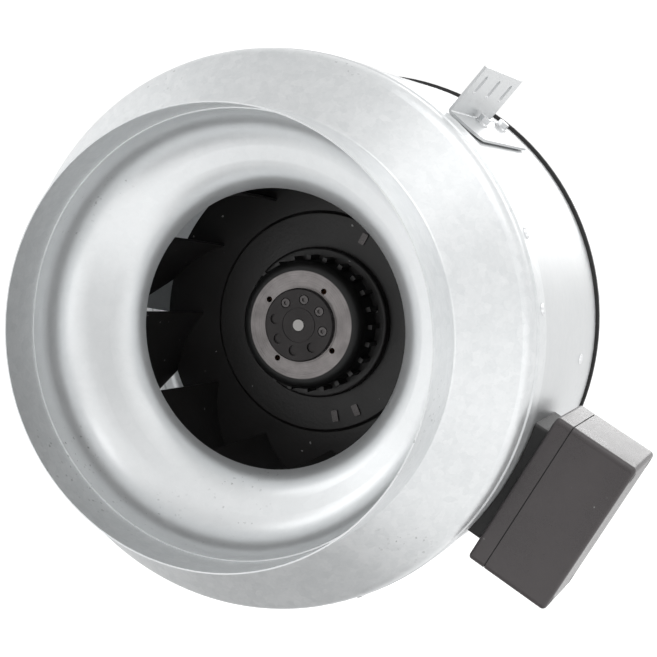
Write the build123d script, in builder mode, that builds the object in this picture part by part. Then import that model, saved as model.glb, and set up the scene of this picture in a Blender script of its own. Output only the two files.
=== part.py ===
"""Inline centrifugal fan for round duct, built up piece by piece.

The duct axis is Y: air enters at y = 0 and leaves at y = fan_length. X points at the
terminal box, Z is up. Angles about the axis run from +X towards +Z. Sizes are in mm.
"""

from build123d import *
from math import cos, pi, radians, sin
import os

os.makedirs("parts", exist_ok=True)

# ---- Driving dimensions ----

# Clearances shared by everything that fits together
seat = 0.05            # radial gap of pressed and screwed pieces
slip = 0.15            # gap between sheet pieces that nest
turning_gap = 1.5      # between the fixed throat and the turning shroud

# Sheet steel casing
sheet = 1.0
collar_radius = 157.0
collar_length = 45.0
drum_radius = 201.0
fan_length = 400.0
cone_depth = 35.0
shoulder_bend = 15.0
collar_bend = 4.0
joggle_length = 2.0
front_skirt = 22.5
shoulder_land = 13.0
rear_rim = 20.5
seal_width = 4.0
seal_proud = 1.6
seal_shift = 1.1
seal_angle = 80.0
rivet_radius = 2.4
rivet_head_radius = 4.3
rivet_head = 1.5

# Inlet bellmouth
bellmouth_start = 34.0
bellmouth_rim = 36.6
bellmouth_bend = 40.0
throat_radius = 103.0
throat_end = 107.5
throat_lip = 15.7
throat_lip_angle = 20.0
throat_bend = 36.0

# Impeller
impeller_radius = 134.0
blade_count = 11
blade_thickness = 1.8
blade_tip_setback = 0.5
blade_front_root = 107.5
blade_front_angle = 9.8
blade_front_sweep = 36.0
blade_rear_root = 102.5
blade_rear_angle = 12.4
blade_rear_sweep = 21.6
throat_overlap = 1.5
shroud_straight = 6.0
shroud_flare = 21.5
shroud_bend = 11.5
impeller_sheet = 1.5
backplate_front = 203.0
backplate_step = 2.0
backplate_step_radius = 87.0
hub_wall = 9.5
hub_front = 195.0
hub_tab_front = 177.0
hub_tab_count = 24
hub_tab_width = 3.6
hub_flange = 6.0

# External rotor motor
can_radius = 50.0
can_wall = 3.0
can_front = 163.6
can_rear = 214.0
can_bend = 8.0
boss_radius = 28.3
boss_front = 160.0
boss_barrel_radius = 12.0
boss_barrel_end = 171.0
pocket_count = 8
pocket_circle = 20.0
pocket_radius = 4.0
pocket_depth = 1.8
pocket_angle = 19.0
can_hole_circle = 32.2
can_hole_radius = 2.3
can_hole_angle = -5.0
shaft_radius = 5.0
shaft_front = 159.0
shaft_rear = 231.0
bearing_radius = 13.0
bearing_width = 8.0
bearing_running = 0.05
front_bearing_y = 173.0
rear_bearing_y = 215.0
rotor_ring_wall = 6.35
air_gap = 0.6
core_front = 182.0
core_rear = 206.0
tooth_count = 12
slot_width = 6.0
slot_root_radius = 24.0
winding_gap = 0.2
winding_overhang = 7.0
tube_wall = 3.0
flange_front = 217.0
flange_rear = 226.0
flange_inset = 4.0

# Motor support spider
support_thickness = 2.0
support_disc_radius = 64.0
arm_width = 30.0
arm_count = 4
arm_angle = 24.0
arm_flange = 30.0
flange_screw_inset = 8.0
support_rivet_setback = 20.0
m4_radius = 2.0
m4_head_radius = 3.5
m4_head = 4.0

# Mounting bracket
bracket_angle = 80.0
bracket_start = 126.0
bracket_foot_length = 136.0
bracket_upright_length = 104.0
bracket_thickness = 2.0
bracket_height = 41.0
bracket_inboard = 8.5
bracket_outboard = 24.0
bracket_bend = 3.0
bracket_front_corner = 12.0
bracket_rear_corner = 5.0
bracket_slot_count = 3
bracket_slot_length = 16.0
bracket_slot_width = 7.0
bracket_slot_pitch = 35.0
bracket_slot_height = 27.0
bracket_screw_first = 64.0
bracket_screw_pitch = 55.0
bracket_screw_radius = 3.0
bracket_screw_flange_radius = 5.6
bracket_screw_hex = 8.0
bracket_screw_head = 5.5

# Terminal box
box_length = 84.0
box_width = 122.0
box_start = 123.0
box_wall = 2.5
box_floor = 3.0
box_stand_off = 6.0
box_base_height = 13.0
box_cover_height = 52.0
box_corner = 5.0
base_edge = 2.5
cover_edge = 3.5
pedestal_length = 68.0
pedestal_width = 94.0
pedestal_wall = 3.0
pedestal_top = 2.0
parting_gap = 0.8
gasket_width = 1.5
gasket_inset = 0.7
cover_screw_inset = 8.0
cover_screw_radius = 2.0
cover_screw_head_radius = 4.0
cover_screw_head = 2.5
cover_boss_radius = 5.6
thread_gap = 0.3
box_screw_z = 41.0
box_screw_radius = 2.4
box_screw_head_radius = 4.5

# Cable gland
gland_height = 19.0
gland_thread_radius = 10.0
gland_bore_radius = 6.6
gland_hex = 24.0
gland_flange = 5.0
gland_outer_thread = 9.0
gland_tongue_width = 36.0
gland_cable_radius = 5.0

# Motor lead, terminals and capacitor
lead_radius = 3.0
lead_angle = 24.0
lead_start_radius = 27.0
lead_behind_support = 12.0
lead_box_y = 165.0
grommet_flange = 3.5
terminal_width = 52.0
terminal_depth = 20.0
terminal_height = 18.0
terminal_to_capacitor = 4.8
terminal_ways = 5
terminal_screw_radius = 2.2
capacitor_radius = 14.0
capacitor_length = 60.0
capacitor_to_boss = 1.4
capacitor_strap = 1.2
earth_screw_y = 190.0
earth_screw_z = -38.0

# ---- Places worked out from them ----

drum_inner = drum_radius - sheet
cone_corner = collar_length + cone_depth
front_skirt_start = cone_corner + shoulder_land
front_skirt_end = front_skirt_start + front_skirt
drum_start = front_skirt_start + joggle_length + 1.0
outlet_cone_corner = fan_length - cone_corner
drum_end = outlet_cone_corner - rear_rim
rim_start = drum_end + seal_width
neck_radius = drum_radius - sheet - slip
neck_end = outlet_cone_corner - shoulder_bend / 2
rear_rivet_y = (rim_start + neck_end) / 2
support_y = flange_rear
support_rivet_y = support_y + support_rivet_setback
shroud_radius = throat_radius + sheet + turning_gap
shroud_start = throat_end - throat_overlap
shroud_corner = shroud_start + shroud_straight
shroud_end = shroud_corner + shroud_flare
hub_radius = can_radius + hub_wall
can_inner = can_radius - can_wall
core_radius = can_inner - seat - rotor_ring_wall - air_gap
flange_radius = can_radius - flange_inset
flange_screw_circle = flange_radius - flange_screw_inset
backplate_rear_front = backplate_front + backplate_step
tube_radius = bearing_radius + tube_wall
box_base_bottom = drum_radius + box_stand_off
box_parting = box_base_bottom + box_base_height
box_top = box_parting + box_cover_height
box_mid_y = box_start + box_length / 2
box_end = box_start + box_length
floor_top = box_base_bottom + box_floor
gland_x = box_parting + gland_height
cover_boss_edge = box_width / 2 - cover_screw_inset - cover_boss_radius
capacitor_z = cover_boss_edge - capacitor_to_boss - capacitor_radius
terminal_edge = capacitor_z - capacitor_radius - capacitor_strap - terminal_to_capacitor
terminal_z = terminal_edge - terminal_width / 2
lip_rivet_angles = [37 + 90 * turn for turn in range(4)] + [52 + 90 * turn for turn in range(4)]
joint_rivet_angles = [37 + 45 * turn for turn in range(8)]
arm_angles = [arm_angle + 360 / arm_count * turn for turn in range(arm_count)]
bracket_screw_places = [
    bracket_start + bracket_screw_first,
    bracket_start + bracket_screw_first + bracket_screw_pitch,
]


# ---- Helpers ----


def across(y):
    """Plane square to the duct axis, local x to +X and local y to +Z, facing the inlet."""
    return Plane(origin=(0, y, 0), x_dir=(1, 0, 0), z_dir=(0, -1, 0))


def outward(angle, y, radius):
    """Plane on a circle about the axis, facing away from it, local x along the axis."""
    turn = radians(angle)
    spot = (radius * cos(turn), y, radius * sin(turn))
    return Plane(origin=spot, x_dir=(0, 1, 0), z_dir=(cos(turn), 0, sin(turn)))


def over_box(x):
    """Plane square to X, local x along the duct axis and local y to +Z."""
    return Plane(origin=(x, 0, 0), x_dir=(0, 1, 0), z_dir=(1, 0, 0))


def polar(radius, angle):
    """Point at a radius and angle, for sketches square to the duct axis."""
    return (radius * cos(radians(angle)), radius * sin(radians(angle)))


def sheet_section(points, bends, thickness=sheet, side=Side.LEFT):
    """Section of a spun sheet: a bent line of (radius, y) points given a thickness."""
    with BuildSketch(Plane.XY) as section:
        with BuildLine():
            FilletPolyline(*points, radius=bends)
            offset(amount=thickness, side=side)
        make_face()
    return section.sketch


def ring_section(inner, outer, start, end):
    """Rectangular section of a turned ring."""
    with BuildSketch(Plane.XY) as section:
        with Locations(((inner + outer) / 2, (start + end) / 2)):
            Rectangle(outer - inner, end - start)
    return section.sketch


def turned(*corners):
    """Closed section of (radius, y) corners for a turned piece."""
    with BuildSketch(Plane.XY) as section:
        Polygon(*corners, align=None)
    return section.sketch


def blade_outline(y, root, angle, sweep):
    """Footprint of one backward curved blade at one station along the duct axis."""
    tip = impeller_radius - blade_tip_setback
    with BuildSketch(across(y)) as outline:
        with BuildLine():
            ThreePointArc(
                polar(root, angle),
                polar((root + tip) / 2, angle + 0.47 * sweep),
                polar(tip, angle + sweep),
            )
            offset(amount=blade_thickness, side=Side.RIGHT)
        make_face()
    return outline.sketch


# ---- Casing: two spun shells, the drum between them, and the bellmouth ----

skirt_radius = drum_radius + slip
with BuildPart() as inlet_shell:
    revolve(
        sheet_section(
            [
                (collar_radius - sheet, 0),
                (collar_radius - sheet, collar_length),
                (drum_radius - sheet, cone_corner),
                (drum_radius - sheet, front_skirt_start),
                (skirt_radius, front_skirt_start + joggle_length),
                (skirt_radius, front_skirt_end),
            ],
            [collar_bend, shoulder_bend - sheet, 0.6, 0.6],
            side=Side.RIGHT,
        ),
        axis=Axis.Y,
    )
    with Locations(*[outward(angle, (drum_start + front_skirt_end) / 2, skirt_radius)
                     for angle in lip_rivet_angles]):
        Cylinder(rivet_radius + seat, 4 * sheet, mode=Mode.SUBTRACT)
inlet_shell.part.label = "inlet_shell"
export_step(inlet_shell.part, "parts/inlet_shell.step")

# The bellmouth is a spun ring clinched inside the inlet collar.
bellmouth_outer = collar_radius - sheet - slip
bellmouth_corner = bellmouth_start + bellmouth_rim
throat_outer = throat_radius + sheet
lip_angle = radians(throat_lip_angle)
lip_start = throat_end - throat_lip * cos(lip_angle)
lip_radius = throat_outer + throat_lip * sin(lip_angle)
with BuildPart() as inlet_bellmouth:
    revolve(
        sheet_section(
            [
                (bellmouth_outer, bellmouth_start),
                (bellmouth_outer, bellmouth_corner),
                (lip_radius, lip_start),
                (throat_outer, throat_end),
            ],
            [bellmouth_bend, throat_bend],
            side=Side.LEFT,
        ),
        axis=Axis.Y,
    )
inlet_bellmouth.part.label = "inlet_bellmouth"
export_step(inlet_bellmouth.part, "parts/inlet_bellmouth.step")

# The drum's rear end is necked down so that the outlet shell slides over it.
with BuildPart() as drum:
    revolve(
        sheet_section(
            [
                (drum_inner, drum_start),
                (drum_inner, drum_end - joggle_length),
                (neck_radius - sheet, drum_end),
                (neck_radius - sheet, neck_end),
            ],
            [0.6, 0.6],
            side=Side.RIGHT,
        ),
        axis=Axis.Y,
    )
    with Locations(*[outward(angle, (drum_start + front_skirt_end) / 2, drum_radius)
                     for angle in lip_rivet_angles]):
        Cylinder(rivet_radius + seat, 4 * sheet, mode=Mode.SUBTRACT)
    with Locations(*[outward(angle, rear_rivet_y, drum_radius) for angle in joint_rivet_angles]):
        Cylinder(rivet_radius + seat, 6 * sheet, mode=Mode.SUBTRACT)
    with Locations(*[outward(angle, support_rivet_y, drum_radius) for angle in arm_angles]):
        Cylinder(rivet_radius + seat, 4 * sheet, mode=Mode.SUBTRACT)
    with Locations(outward(0, lead_box_y, drum_radius)):
        Cylinder(3 * lead_radius, 4 * sheet, mode=Mode.SUBTRACT)
    with Locations(*[outward(bracket_angle, y, drum_radius) for y in bracket_screw_places]):
        Cylinder(bracket_screw_radius + seat, 4 * sheet, mode=Mode.SUBTRACT)
    with BuildSketch(over_box(drum_radius - 20)):
        with Locations((box_mid_y, box_screw_z), (box_mid_y, -box_screw_z)):
            Circle(box_screw_radius + seat)
    extrude(amount=30, mode=Mode.SUBTRACT)
drum.part.label = "drum"
export_step(drum.part, "parts/drum.step")

with BuildPart() as outlet_shell:
    revolve(
        sheet_section(
            [
                (neck_radius + slip, rim_start),
                (neck_radius + slip, outlet_cone_corner),
                (collar_radius - sheet, fan_length - collar_length),
                (collar_radius - sheet, fan_length),
            ],
            [shoulder_bend - sheet, collar_bend],
            side=Side.RIGHT,
        ),
        axis=Axis.Y,
    )
    with Locations(*[outward(angle, rear_rivet_y, drum_radius) for angle in joint_rivet_angles]):
        Cylinder(rivet_radius + seat, 6 * sheet, mode=Mode.SUBTRACT)
outlet_shell.part.label = "outlet_shell"
export_step(outlet_shell.part, "parts/outlet_shell.step")

# A rubber strip closes the joint. It stands proud, a little more on one side.
with BuildPart() as joint_seal:
    with BuildSketch(across(drum_end + slip)):
        with Locations(polar(seal_shift, seal_angle)):
            Circle(drum_radius + seal_proud)
        Circle(neck_radius + slip, mode=Mode.SUBTRACT)
    extrude(amount=2 * slip - seal_width)
joint_seal.part.label = "joint_seal"
export_step(joint_seal.part, "parts/joint_seal.step")


def blind_rivets(angles, y, outside, grip):
    """Domed rivets on a circle: a head outside, a shank and a set end inside."""
    for angle in angles:
        with BuildSketch(outward(angle, y, outside)) as head:
            Circle(rivet_head_radius)
        extrude(head.sketch, amount=rivet_head, taper=38)
        with BuildSketch(outward(angle, y, outside)) as shank:
            Circle(rivet_radius)
        extrude(shank.sketch, amount=-grip)
        with BuildSketch(outward(angle, y, outside - grip)) as tail:
            Circle(rivet_radius + 0.8)
        extrude(tail.sketch, amount=-rivet_head)


skirt_outer = skirt_radius + sheet
head_lift = 0.25
with BuildPart() as lip_rivets:
    blind_rivets(
        lip_rivet_angles,
        (drum_start + front_skirt_end) / 2,
        skirt_outer + seat,
        skirt_outer + seat - drum_inner + head_lift,
    )
lip_rivets.part.label = "lip_rivets"
export_step(lip_rivets.part, "parts/lip_rivets.step")

with BuildPart() as joint_rivets:
    blind_rivets(
        joint_rivet_angles,
        rear_rivet_y,
        drum_radius + seat,
        drum_radius - neck_radius + sheet + 2 * seat + head_lift,
    )
joint_rivets.part.label = "joint_rivets"
export_step(joint_rivets.part, "parts/joint_rivets.step")

# ---- Motor support: a pressed spider riveted to the drum wall ----

arm_end = drum_inner - slip
with BuildPart() as motor_support:
    with BuildSketch(across(support_y)):
        Circle(support_disc_radius)
        for angle in arm_angles:
            with Locations(Location((0, 0, 0), (0, 0, angle))):
                with Locations((arm_end / 2, 0)):
                    Rectangle(arm_end, arm_width)
        Circle(arm_end, mode=Mode.INTERSECT)
        Circle(tube_radius + seat, mode=Mode.SUBTRACT)
        with PolarLocations(flange_screw_circle, arm_count, start_angle=arm_angle + 45):
            Circle(m4_radius + seat, mode=Mode.SUBTRACT)
        with Locations(polar(lead_start_radius, lead_angle)):
            Circle(lead_radius + 1.5, mode=Mode.SUBTRACT)
    extrude(amount=-support_thickness)
    with BuildSketch(across(support_y)):
        for angle in arm_angles:
            with Locations(Location((0, 0, 0), (0, 0, angle))):
                with Locations((arm_end - 10, 0)):
                    Rectangle(20, arm_width)
        Circle(arm_end, mode=Mode.INTERSECT)
        Circle(arm_end - support_thickness, mode=Mode.SUBTRACT)
    extrude(amount=-arm_flange)
    with Locations(*[outward(angle, support_rivet_y, arm_end) for angle in arm_angles]):
        Cylinder(rivet_radius + seat, 4 * support_thickness, mode=Mode.SUBTRACT)
motor_support.part.label = "motor_support"
export_step(motor_support.part, "parts/motor_support.step")

with BuildPart() as support_rivets:
    blind_rivets(
        arm_angles,
        support_rivet_y,
        drum_radius + seat,
        drum_radius - arm_end + support_thickness + seat + head_lift,
    )
support_rivets.part.label = "support_rivets"
export_step(support_rivets.part, "parts/support_rivets.step")

# ---- Motor, fixed side ----

tube_front = front_bearing_y - 1.0
with BuildPart() as stator_flange:
    revolve(
        turned(
            (bearing_radius + seat, tube_front),
            (tube_radius, tube_front),
            (tube_radius, flange_front),
            (flange_radius, flange_front),
            (flange_radius, flange_rear),
            (bearing_radius + seat, flange_rear),
            (bearing_radius + seat, rear_bearing_y - seat),
            (bearing_radius - 3, rear_bearing_y - seat),
            (bearing_radius - 3, front_bearing_y + bearing_width + seat),
            (bearing_radius + seat, front_bearing_y + bearing_width + seat),
        ),
        axis=Axis.Y,
    )
    with BuildSketch(across(flange_rear)):
        with PolarLocations(flange_screw_circle, arm_count, start_angle=arm_angle + 45):
            Circle(m4_radius + seat)
        with Locations(polar(lead_start_radius, lead_angle)):
            Circle(lead_radius + seat)
    extrude(amount=flange_rear - flange_front, mode=Mode.SUBTRACT)
stator_flange.part.label = "stator_flange"
export_step(stator_flange.part, "parts/stator_flange.step")

with BuildPart() as flange_screws:
    for angle in arm_angles:
        spot = polar(flange_screw_circle, angle + 45)
        with BuildSketch(across(support_y + support_thickness + seat)):
            with Locations(spot):
                Circle(m4_head_radius)
        extrude(amount=-m4_head)
        with BuildSketch(across(flange_front + 1)):
            with Locations(spot):
                Circle(m4_radius)
        extrude(amount=-(support_y + support_thickness - flange_front))
        with BuildSketch(across(support_y + support_thickness + seat + m4_head)):
            with Locations(spot):
                RegularPolygon(m4_radius, 6)
        extrude(amount=2.0, mode=Mode.SUBTRACT)
flange_screws.part.label = "flange_screws"
export_step(flange_screws.part, "parts/flange_screws.step")

with BuildPart() as stator_core:
    with BuildSketch(across(core_front)):
        Circle(core_radius)
        Circle(tube_radius + seat, mode=Mode.SUBTRACT)
        with PolarLocations(0, tooth_count):
            with Locations(((slot_root_radius + core_radius) / 2 + 1, 0)):
                Rectangle(core_radius - slot_root_radius + 2, slot_width, mode=Mode.SUBTRACT)
    extrude(amount=core_front - core_rear)
stator_core.part.label = "stator_core"
export_step(stator_core.part, "parts/stator_core.step")

coil_outer = core_radius - 2.0
coil_inner = slot_root_radius + winding_gap
with BuildPart() as stator_windings:
    revolve(
        ring_section(coil_inner, coil_outer, core_front - winding_overhang, core_front - seat),
        axis=Axis.Y,
    )
    revolve(
        ring_section(coil_inner, coil_outer, core_rear + seat, core_rear + winding_overhang),
        axis=Axis.Y,
    )
    fillet(
        stator_windings.edges().filter_by(GeomType.CIRCLE).group_by(Axis.Y)[0]
        + stator_windings.edges().filter_by(GeomType.CIRCLE).group_by(Axis.Y)[-1],
        radius=2.5,
    )
    with BuildSketch(across(core_front - 1)):
        with PolarLocations(0, tooth_count):
            with Locations(((coil_inner + coil_outer) / 2, 0)):
                Rectangle(coil_outer - coil_inner - 1, slot_width - 2 * winding_gap)
    extrude(amount=core_front - core_rear - 2)
stator_windings.part.label = "stator_windings"
export_step(stator_windings.part, "parts/stator_windings.step")


def ball_bearing(y):
    """A sealed ball bearing drawn as one ring with grooved faces."""
    inner = shaft_radius + bearing_running
    middle = (inner + bearing_radius) / 2
    revolve(ring_section(inner, bearing_radius, y, y + bearing_width), axis=Axis.Y)
    for face in (y, y + bearing_width - 0.6):
        revolve(
            ring_section(middle - 1.8, middle + 1.8, face, face + 0.6),
            axis=Axis.Y,
            mode=Mode.SUBTRACT,
        )


for bearing_name, bearing_y in (
    ("front_bearing", front_bearing_y),
    ("rear_bearing", rear_bearing_y),
):
    with BuildPart() as bearing:
        ball_bearing(bearing_y)
    bearing.part.label = bearing_name
    export_step(bearing.part, f"parts/{bearing_name}.step")

# ---- Motor and impeller, turning side ----

can_holes = [polar(can_hole_circle, can_hole_angle + 90 * turn) for turn in range(4)]
pocket_angles = [pocket_angle + 360 / pocket_count * turn for turn in range(pocket_count)]
screw_angles = pocket_angles[:4]
with BuildPart() as rotor_can:
    revolve(
        sheet_section(
            [
                (boss_barrel_radius + seat, can_front),
                (can_radius, can_front),
                (can_radius, can_rear),
            ],
            [can_bend],
            thickness=can_wall,
            side=Side.LEFT,
        ),
        axis=Axis.Y,
    )
    with BuildSketch(across(can_front - 1)):
        with Locations(*can_holes):
            Circle(can_hole_radius)
        with Locations(*[polar(pocket_circle, angle) for angle in screw_angles]):
            Circle(m4_radius + seat)
    extrude(amount=-(can_wall + 2), mode=Mode.SUBTRACT)
rotor_can.part.label = "rotor_can"
export_step(rotor_can.part, "parts/rotor_can.step")

with BuildPart() as rotor_boss:
    revolve(
        turned(
            (shaft_radius + seat, boss_front),
            (boss_radius - 1, boss_front),
            (boss_radius, boss_front + 1),
            (boss_radius, can_front - seat),
            (boss_barrel_radius, can_front - seat),
            (boss_barrel_radius, boss_barrel_end),
            (shaft_radius + seat, boss_barrel_end),
        ),
        axis=Axis.Y,
    )
    with BuildSketch(across(boss_front)):
        Circle(boss_barrel_radius + 1.6)
        Circle(boss_barrel_radius + 1.0, mode=Mode.SUBTRACT)
    extrude(amount=-0.6, mode=Mode.SUBTRACT)
    with BuildSketch(across(boss_front)):
        with Locations(*[polar(pocket_circle, angle) for angle in pocket_angles]):
            Circle(pocket_radius)
    extrude(amount=-pocket_depth, mode=Mode.SUBTRACT)
    with BuildSketch(across(boss_front)):
        with Locations(*[polar(pocket_circle, angle) for angle in screw_angles]):
            Circle(m4_radius + seat)
    extrude(amount=-(can_front - boss_front), mode=Mode.SUBTRACT)
rotor_boss.part.label = "rotor_boss"
export_step(rotor_boss.part, "parts/rotor_boss.step")

with BuildPart() as rotor_screws:
    for angle in screw_angles:
        spot = polar(pocket_circle, angle)
        seat_y = boss_front + pocket_depth - seat
        with BuildSketch(across(seat_y)):
            with Locations(spot):
                Circle(m4_head_radius - 0.2)
        extrude(amount=pocket_depth)
        with BuildSketch(across(seat_y - pocket_depth)):
            with Locations(spot):
                RegularPolygon(1.7, 6)
        extrude(amount=-1.4, mode=Mode.SUBTRACT)
        with BuildSketch(across(seat_y)):
            with Locations(spot):
                Circle(m4_radius)
        extrude(amount=-(can_front + can_wall - seat_y + 1.5))
rotor_screws.part.label = "rotor_screws"
export_step(rotor_screws.part, "parts/rotor_screws.step")

with BuildPart() as rotor_ring:
    revolve(
        ring_section(core_radius + air_gap, can_inner - seat, core_front - 1, core_rear + 1),
        axis=Axis.Y,
    )
rotor_ring.part.label = "rotor_ring"
export_step(rotor_ring.part, "parts/rotor_ring.step")

clip_groove = 0.8
clip_y = shaft_rear - 4.0
with BuildPart() as shaft:
    revolve(
        turned(
            (0, shaft_front),
            (shaft_radius - 0.6, shaft_front),
            (shaft_radius, shaft_front + 0.6),
            (shaft_radius, clip_y),
            (shaft_radius - clip_groove, clip_y),
            (shaft_radius - clip_groove, clip_y + 1.2),
            (shaft_radius, clip_y + 1.2),
            (shaft_radius, shaft_rear),
            (0, shaft_rear),
        ),
        axis=Axis.Y,
    )
shaft.part.label = "shaft"
export_step(shaft.part, "parts/shaft.step")

with BuildPart() as shaft_clip:
    with BuildSketch(across(clip_y + 0.1)):
        Circle(shaft_radius + 1.8)
        Circle(shaft_radius - clip_groove + seat, mode=Mode.SUBTRACT)
        with Locations((shaft_radius, 0)):
            Rectangle(2 * shaft_radius, 3, mode=Mode.SUBTRACT)
    extrude(amount=-1.0)
shaft_clip.part.label = "shaft_clip"
export_step(shaft_clip.part, "parts/shaft_clip.step")

hub_inner = can_radius + seat
with BuildPart() as impeller_hub:
    revolve(
        turned(
            (hub_inner, hub_front),
            (hub_radius, hub_front),
            (hub_radius, backplate_front + impeller_sheet + seat),
            (hub_radius + hub_flange, backplate_front + impeller_sheet + seat),
            (hub_radius + hub_flange, backplate_front + 2 * impeller_sheet + seat),
            (hub_inner, backplate_front + 2 * impeller_sheet + seat),
        ),
        axis=Axis.Y,
    )
    fillet(
        impeller_hub.edges().filter_by(GeomType.CIRCLE).group_by(Axis.Y)[0].sort_by(SortBy.RADIUS)[-1],
        radius=2.5,
    )
    with BuildSketch(across(hub_tab_front)):
        Circle(hub_inner + 3.4)
        Circle(hub_inner, mode=Mode.SUBTRACT)
        with BuildSketch(mode=Mode.INTERSECT):
            with PolarLocations(hub_inner, hub_tab_count):
                Rectangle(12, hub_tab_width)
    extrude(amount=hub_tab_front - hub_front - 1)
impeller_hub.part.label = "impeller_hub"
export_step(impeller_hub.part, "parts/impeller_hub.step")

with BuildPart() as impeller_backplate:
    revolve(
        sheet_section(
            [
                (hub_radius + seat, backplate_front),
                (backplate_step_radius - 1, backplate_front),
                (backplate_step_radius + 1, backplate_rear_front),
                (impeller_radius, backplate_rear_front),
            ],
            [1.0, 1.0],
            thickness=impeller_sheet,
            side=Side.LEFT,
        ),
        axis=Axis.Y,
    )
impeller_backplate.part.label = "impeller_backplate"
export_step(impeller_backplate.part, "parts/impeller_backplate.step")

shroud_slope = (shroud_end - shroud_corner) / (impeller_radius - shroud_radius)
with BuildPart() as impeller_shroud:
    revolve(
        sheet_section(
            [
                (shroud_radius, shroud_start),
                (shroud_radius, shroud_corner),
                (impeller_radius, shroud_end),
            ],
            [shroud_bend],
            thickness=impeller_sheet,
            side=Side.RIGHT,
        ),
        axis=Axis.Y,
    )
impeller_shroud.part.label = "impeller_shroud"
export_step(impeller_shroud.part, "parts/impeller_shroud.step")

# Each blade fills the passage between the shroud's rear face and the backplate. It leans
# and twists: the end on the shroud sweeps further round than the end on the backplate.
blade_front = shroud_corner + 5.0
shroud_back_run = seat + 0.05
blade_meet_radius = shroud_radius + (blade_front - shroud_corner - shroud_back_run) / shroud_slope
blade_inside = blade_rear_root - 10.0
blade_outside = impeller_radius + 2.0
blade_outside_front = shroud_corner + (blade_outside - shroud_radius) * shroud_slope
with BuildPart() as blade_blank:
    loft(
        [
            blade_outline(shroud_corner, blade_front_root, blade_front_angle, blade_front_sweep),
            blade_outline(
                backplate_rear_front - seat, blade_rear_root, blade_rear_angle, blade_rear_sweep
            ),
        ],
        ruled=True,
    )
with BuildPart() as impeller_blades:
    for turn in range(blade_count):
        add(blade_blank.part.rotate(Axis.Y, -360 / blade_count * turn))
    revolve(
        turned(
            (blade_inside, blade_front),
            (blade_meet_radius, blade_front),
            (blade_outside, blade_outside_front + shroud_back_run),
            (blade_outside, backplate_rear_front),
            (blade_inside, backplate_rear_front),
        ),
        axis=Axis.Y,
        mode=Mode.INTERSECT,
    )
impeller_blades.part.label = "impeller_blades"
export_step(impeller_blades.part, "parts/impeller_blades.step")

clip_angles = (92.0, 312.0, 326.0)
with BuildPart() as balance_clips:
    for angle in clip_angles:
        with BuildSketch(across(backplate_front - seat)):
            with Locations(Location((*polar(hub_radius + 16, angle), 0), (0, 0, angle))):
                RectangleRounded(9, 5, 1)
        extrude(amount=1.6)
balance_clips.part.label = "balance_clips"
export_step(balance_clips.part, "parts/balance_clips.step")

# ---- Mounting bracket: a bent angle under two screws ----

bracket_turn = radians(bracket_angle)
bracket_out = Vector(cos(bracket_turn), 0, sin(bracket_turn))
bracket_side = Vector(-sin(bracket_turn), 0, cos(bracket_turn))
bracket_foot = drum_radius + 2 * seat


def bracket_plane(y, side, out):
    """Plane on the bracket, local x along the duct axis, facing out of the upright."""
    spot = bracket_out * (bracket_foot + out) + bracket_side * side + Vector(0, y, 0)
    return Plane(origin=spot, x_dir=(0, 1, 0), z_dir=bracket_side)


with BuildPart() as mounting_bracket:
    section_plane = Plane(
        origin=bracket_out * bracket_foot + Vector(0, bracket_start, 0),
        x_dir=bracket_side,
        z_dir=(0, 1, 0),
    )
    with BuildSketch(section_plane):
        with BuildLine():
            FilletPolyline(
                (-bracket_outboard, 0),
                (bracket_inboard, 0),
                (bracket_inboard, bracket_height),
                radius=bracket_bend,
            )
            offset(amount=bracket_thickness, side=Side.LEFT)
        make_face()
    extrude(amount=bracket_foot_length)
    upright_cut = bracket_foot_length - bracket_upright_length
    with BuildSketch(bracket_plane(bracket_start + bracket_foot_length, bracket_inboard + 1, 0)):
        with Locations((-upright_cut / 2 + 1, -bracket_height / 2 - bracket_thickness - 1)):
            Rectangle(upright_cut + 2, bracket_height)
    extrude(amount=-bracket_thickness - bracket_bend - 2, mode=Mode.SUBTRACT)
    for end, corner_radius in ((0, bracket_front_corner), (-1, bracket_rear_corner)):
        foot_corners = mounting_bracket.edges().filter_by(
            lambda edge: edge.length < bracket_thickness + 0.01
            and abs(edge.tangent_at(0.5).dot(bracket_out)) > 0.99
            and (edge.center() - bracket_out * bracket_foot).dot(bracket_side) < 0
        )
        fillet(foot_corners.sort_by(Axis.Y)[end], radius=corner_radius)
    middle = bracket_start + bracket_upright_length / 2
    with BuildSketch(bracket_plane(middle, bracket_inboard + 1, bracket_slot_height)):
        with GridLocations(bracket_slot_pitch, 1, bracket_slot_count, 1):
            SlotOverall(bracket_slot_length, bracket_slot_width, rotation=90)
    extrude(amount=-bracket_thickness - 2, mode=Mode.SUBTRACT)
    with Locations(*[outward(bracket_angle, y, bracket_foot) for y in bracket_screw_places]):
        Cylinder(bracket_screw_radius + seat, 4 * bracket_thickness, mode=Mode.SUBTRACT)
mounting_bracket.part.label = "mounting_bracket"
export_step(mounting_bracket.part, "parts/mounting_bracket.step")

with BuildPart() as bracket_screws:
    under_head = bracket_foot + bracket_thickness + seat
    for y in bracket_screw_places:
        with BuildSketch(outward(bracket_angle, y, under_head)):
            Circle(bracket_screw_flange_radius)
        extrude(amount=1.4, taper=20)
        with BuildSketch(outward(bracket_angle, y, under_head + 1)):
            RegularPolygon(bracket_screw_hex / 2, 6, major_radius=False)
        extrude(amount=bracket_screw_head - 1)
        with BuildSketch(outward(bracket_angle, y, under_head)):
            Circle(bracket_screw_radius)
        extrude(amount=-12)
bracket_screws.part.label = "bracket_screws"
export_step(bracket_screws.part, "parts/bracket_screws.step")

# ---- Terminal box: a saddle on the drum, the base screwed to it, and the lift-off cover ----

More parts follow.
